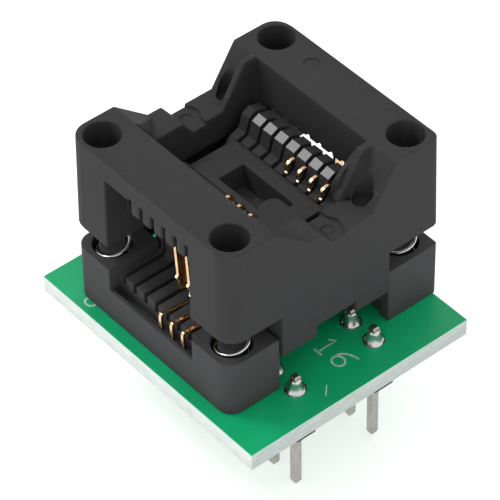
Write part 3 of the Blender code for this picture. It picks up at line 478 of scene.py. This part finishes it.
base_plastic = moulded_black("base_plastic", BASE_TONE_PAINTED_LIGHTER, MOULD_GRAIN, TIP_POLISH_AND_SHADE)
softened("socket_base", "moulded_base", BASE_EDGE_RADIUS, base_plastic,
         sharp_angle=23, crisp_above=CRISP_ABOVE)


# The contacts: stamped from thin copper alloy and gold plated. A hook reaches over the chip's lead, a post
# under it bears the lead from below, and the spring leg between them is worked by the cover through the stem.
TAIL_OUT = 9.65
TAIL_WIDTH = 0.3
TAIL_END = -2.25
CONTACT_EDGE_RADIUS = 0.04 * MM
RED_GOLD, PALE_GOLD = (0.60, 0.31, 0.12), (1.0, 0.80, 0.52)


def arc(centre_out, centre_z, radius, start, stop, count):
    """Points on a circle in the stamping's plane, from one angle to another in degrees."""
    angles = [math.radians(start + (stop - start) * i / count) for i in range(count + 1)]
    return [(centre_out + radius * math.cos(angle), centre_z + radius * math.sin(angle)) for angle in angles]


def stamping_outline():
    """The contact's outline as (out, height above the board) in millimetres, round from the tail's end."""
    tail_outside = [(TAIL_OUT, TAIL_END), (TAIL_OUT, 4.05), *arc(TAIL_OUT - 0.23, 4.05, 0.23, 0, 82, 4)]
    leg_outside = [(6.55, 3.9), *arc(6.55, 4.1, 0.2, 270, 180, 4), (6.35, 6.75),
                   *arc(6.5, 6.75, 0.15, 180, 90, 3)]
    bend_to_stem = [*arc(6.7, 6.75, 0.15, 90, 0, 3), *arc(7.0, 5.75, 0.15, 180, 270, 4),
                    *arc(7.6, 5.75, 0.15, 270, 360, 4)]
    stem_outside = [(7.82, 6.72), *arc(7.9, 6.93, 0.14, 260, 440, 7), (7.87, 7.2)]
    stem_top = [*arc(7.88, 11.08, 0.22, 3, 95, 5), (7.72, 11.26), (7.52, 10.95), (7.2, 10.1)]
    bridge_top = [*arc(6.82, 7.75, 0.15, 0, -90, 4), *arc(4.3, 7.75, 0.15, 270, 180, 4)]
    hook_outside = [*arc(3.42, 11.15, 0.73, 0, 50, 5), (3.62, 11.87), (3.3, 11.93), (2.95, 11.93),
                    (2.6, 11.76), (2.47, 11.6), (2.42, 11.43), *arc(2.5, 11.32, 0.11, 160, 265, 4)]
    hook_inside = [(2.62, 11.26), (2.95, 11.6), (3.25, 11.64), (3.5, 11.52), (3.62, 11.33), (3.65, 11.15)]
    leg_inside = [(3.65, 6.9), (6.05, 6.9), (6.05, 3.87)]
    post = [(2.95, 3.87), (2.75, 4.07), *arc(2.56, 10.81, 0.19, 0, 180, 8), (2.37, 3.57), (6.35, 3.57)]
    tail_inside = [(TAIL_OUT - TAIL_WIDTH, 4.0), (TAIL_OUT - TAIL_WIDTH, TAIL_END)]
    return [*tail_outside, *leg_outside, *bend_to_stem, *stem_outside, *stem_top, *bridge_top,
            *hook_outside, *hook_inside, *leg_inside, *post, *tail_inside]


def gold_plate():
    """Gold plate with darker, redder stains and the fine lines of rolled strip."""
    finish = Finish("gold_plate", Metallic=1.0)
    stain = finish.clouds(0.6 * MM, detail=4.0)
    lines = finish.clouds(0.05 * MM, (1.0, 1.0, 0.1), detail=2.0)
    colour = finish.between((stain * 1.4 - 0.2).clipped(), RED_GOLD, PALE_GOLD)
    relief = finish.bumps(lines, 0.004 * MM, 0.4)
    return finish.feed(Base_Color=colour, Roughness=0.13 + stain * 0.14, Normal=relief)


def stamping(name, low, high):
    """A contact's mesh between two planes along X, with its tail at the outer side of the box."""
    side = -1 if low.y < 0 else 1
    tail_y = low.y if side < 0 else high.y
    centre_y = tail_y - side * TAIL_OUT * MM
    outline = [(centre_y + side * out * MM, BOARD_TOP + z * MM) for out, z in stamping_outline()]
    bm = bmesh.new()
    near, far = ([bm.verts.new((x, y, z)) for y, z in outline] for x in (low.x, high.x))
    bm.faces.new(near)
    bm.faces.new(far[::-1])
    for i in range(len(near)):
        j = (i + 1) % len(near)
        bm.faces.new((near[i], near[j], far[j], far[i]))
    return mesh_from(name, bm)


gold = gold_plate()
for number in contact_numbers:
    name, node = f"gold_contact_{number:02d}", f"contact_{number:02d}"
    piece = add_to_scene(name, stamping(name, *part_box(node)), gold, "adapter", 33)
    bevel = piece.modifiers.new("rounded_edges", "BEVEL")
    bevel.width, bevel.segments = CONTACT_EDGE_RADIUS, 2
    bevel.limit_method, bevel.angle_limit = "ANGLE", math.radians(50)
    bevel.harden_normals = True
    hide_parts(node)


# Solder on the contacts' tails: small smooth cones of the same tin solder, under the board.
# They are made in a wave, all at once, so they differ less than the cones made by hand.
TAIL_PROFILE = ((0.46, 0.02), (0.42, 0.06), (0.34, 0.18), (0.28, 0.34), (0.235, 0.5),
                (0.15, 0.58), (0.05, 0.6))
TAIL_WOBBLE = 0.14

for number in contact_numbers:
    profile = [(radius * MM, BOARD_BOTTOM - height * MM) for radius, height in TAIL_PROFILE]
    name, node = f"tail_solder_{number:02d}", f"contact_solder_{number:02d}"
    add_solder(name, node, centre_of(node), profile, 24, TAIL_WOBBLE, number * 5.1)


# Four compression springs of bright steel wire, coiled with closed ends. Each stands round its boss in the
# base and pushes on the step inside the cover's corner, so they hold the cover up.
WIRE_RADIUS = 0.125 * MM
WIRE_SIDES = 10
SPRING_TURNS = 6
STEPS_PER_TURN = 30
FIRST_TURN = {"front_left": 0.12, "back_left": 0.1, "front_right": 0.0, "back_right": 0.0}
DARK_STEEL, LIGHT_STEEL = (0.55, 0.55, 0.55), (0.88, 0.88, 0.87)


def spring_steel():
    finish = Finish("spring_steel_wire", Metallic=1.0)
    stain = finish.clouds(0.5 * MM, detail=3.0)
    colour = finish.between(stain, DARK_STEEL, LIGHT_STEEL)
    return finish.feed(Base_Color=colour, Roughness=0.12 + stain * 0.14)


def coil_mesh(name, low, high, first_turn):
    """A spring's round wire, wound inside the box from low to high with one closed turn at each end."""
    centre = Vector(((low.x + high.x) / 2, (low.y + high.y) / 2, low.z + WIRE_RADIUS))
    coil_radius = (high.x - low.x) / 2 - WIRE_RADIUS
    closed_rise = 2.1 * WIRE_RADIUS
    open_rise = high.z - low.z - 2 * WIRE_RADIUS - 2 * closed_rise
    bm = bmesh.new()
    rings = []
    for i in range(SPRING_TURNS * STEPS_PER_TURN + 1):
        turn = i / STEPS_PER_TURN
        rise = min(turn, 1) * closed_rise + max(0, turn - SPRING_TURNS + 1) * closed_rise
        rise += open_rise * min(max(turn - 1, 0) / (SPRING_TURNS - 2), 1)
        angle = math.tau * (turn + first_turn)
        outward = Vector((math.cos(angle), math.sin(angle), 0.0))
        middle = centre + outward * coil_radius + Vector((0.0, 0.0, rise))
        around = [math.tau * k / WIRE_SIDES for k in range(WIRE_SIDES)]
        spokes = [math.cos(spoke) * outward + math.sin(spoke) * Vector((0.0, 0.0, 1.0)) for spoke in around]
        rings.append([bm.verts.new(middle + WIRE_RADIUS * spoke) for spoke in spokes])
    for near, far in zip(rings, rings[1:]):
        for k in range(WIRE_SIDES):
            m = (k + 1) % WIRE_SIDES
            bm.faces.new((near[k], far[k], far[m], near[m]))
    bm.faces.new(rings[0])
    bm.faces.new(rings[-1][::-1])
    return mesh_from(name, bm)


wire = spring_steel()
for corner, first_turn in FIRST_TURN.items():
    name, node = f"coil_{corner}", f"spring_{corner}"
    low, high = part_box(node)
    coil = add_to_scene(name, coil_mesh(name, low, high, first_turn), wire, "adapter", 60)
    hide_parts(node)
    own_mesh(coil)


# The upper half of the socket: the same black plastic, moulded as a frame that is open in the middle for the
# chip, with a window in each long wall for the contacts' stems. It snaps over the base's ledges and slides
# down on the springs.
COVER_EDGE_RADIUS = 0.14 * MM
COVER_SHADE = 0.042

cover_plastic = moulded_black("cover_plastic", COVER_SHADE, MOULD_GRAIN)
softened("press_cover", "moulded_cover", COVER_EDGE_RADIUS, cover_plastic, "cover")


# A white floor under even light from all round, and one broad lamp high on the -X side, as in a light tent.
# The floor glows a little of its own, as a lit sheet does, so that its shadow under the part stays faint.
FLOOR_REACH = 2
FLOOR_GLOW = 0.62
LIGHT_FLOOR, DARK_FLOOR = (0.62, 0.62, 0.62), (0.59, 0.59, 0.59)
WORLD_STRENGTH = 0.92
LAMP_SIZE, LAMP_POWER = 0.11, 0.7
LAMP_DISTANCE = 0.5
LAMP_DIRECTION = Vector((-0.549, -0.338, 0.763)).normalized()
LAMP_AIM = Vector((0, 0, 0.015))


def pale_floor():
    white = (1.0, 1.0, 1.0)
    finish = Finish("pale_floor", Roughness=0.9, Specular_IOR_Level=0.1,
                    Emission_Color=white, Emission_Strength=FLOOR_GLOW)
    return finish.feed(Base_Color=finish.between(finish.clouds(60 * MM) * 0.2, LIGHT_FLOOR, DARK_FLOOR))


floor_mesh = bpy.data.meshes.new("floor")
floor_corners = [(x * FLOOR_REACH, y * FLOOR_REACH, 0) for x, y in ((-1, -1), (1, -1), (1, 1), (-1, 1))]
floor_mesh.from_pydata(floor_corners, [], [(0, 1, 2, 3)])
floor_mesh.materials.append(pale_floor())
floor = bpy.data.objects.new("floor", floor_mesh)
bpy.context.scene.collection.objects.link(floor)

world = bpy.data.worlds.new("studio")
bpy.context.scene.world = world
bpy.context.scene.view_settings.view_transform = "Standard"
world.use_nodes = True
world.node_tree.nodes["Background"].inputs["Color"].default_value = (1.0, 1.0, 1.0, 1.0)
world.node_tree.nodes["Background"].inputs["Strength"].default_value = WORLD_STRENGTH

lamp = bpy.data.lights.new("tent_lamp", "AREA")
lamp.size, lamp.energy = LAMP_SIZE, LAMP_POWER
stand = bpy.data.objects.new("tent_lamp", lamp)
stand.location = LAMP_DIRECTION * LAMP_DISTANCE + LAMP_AIM
stand.rotation_euler = stand.location.to_track_quat("Z", "Y").to_euler()
bpy.context.scene.collection.objects.link(stand)


# The camera stands where the photograph's did: high over the -Y, +X corner, and far off with a long lens.
# It looks at the middle of the board's top, and its shift puts the part where the photograph's frame has it.
AZIMUTH, ELEVATION, ROLL = (math.radians(angle) for angle in (50.56, 44.65, -1.11))
CAMERA_DISTANCE = 0.23948
AIM = Vector((0.0, -0.000125, BOARD_TOP))
SENSOR_WIDTH, FOCAL_LENGTH = 36.0, 230.7
SHIFT_X, SHIFT_Y = -0.0070, 0.0955

back = Vector((math.sin(AZIMUTH) * math.cos(ELEVATION), -math.cos(AZIMUTH) * math.cos(ELEVATION),
               math.sin(ELEVATION)))
level = Vector((math.cos(AZIMUTH), math.sin(AZIMUTH), 0.0))
upright = back.cross(level)
right = math.cos(ROLL) * level + math.sin(ROLL) * upright
above = -math.sin(ROLL) * level + math.cos(ROLL) * upright
turned = Matrix((right, above, back)).transposed().to_4x4()

lens = bpy.data.cameras.new("camera")
lens.sensor_width, lens.lens = SENSOR_WIDTH, FOCAL_LENGTH
lens.shift_x, lens.shift_y = SHIFT_X, SHIFT_Y
lens.clip_start, lens.clip_end = 0.02, 20.0
camera = bpy.data.objects.new("camera", lens)
camera.matrix_world = Matrix.Translation(AIM + back * CAMERA_DISTANCE) @ turned
bpy.context.scene.collection.objects.link(camera)
bpy.context.scene.camera = camera
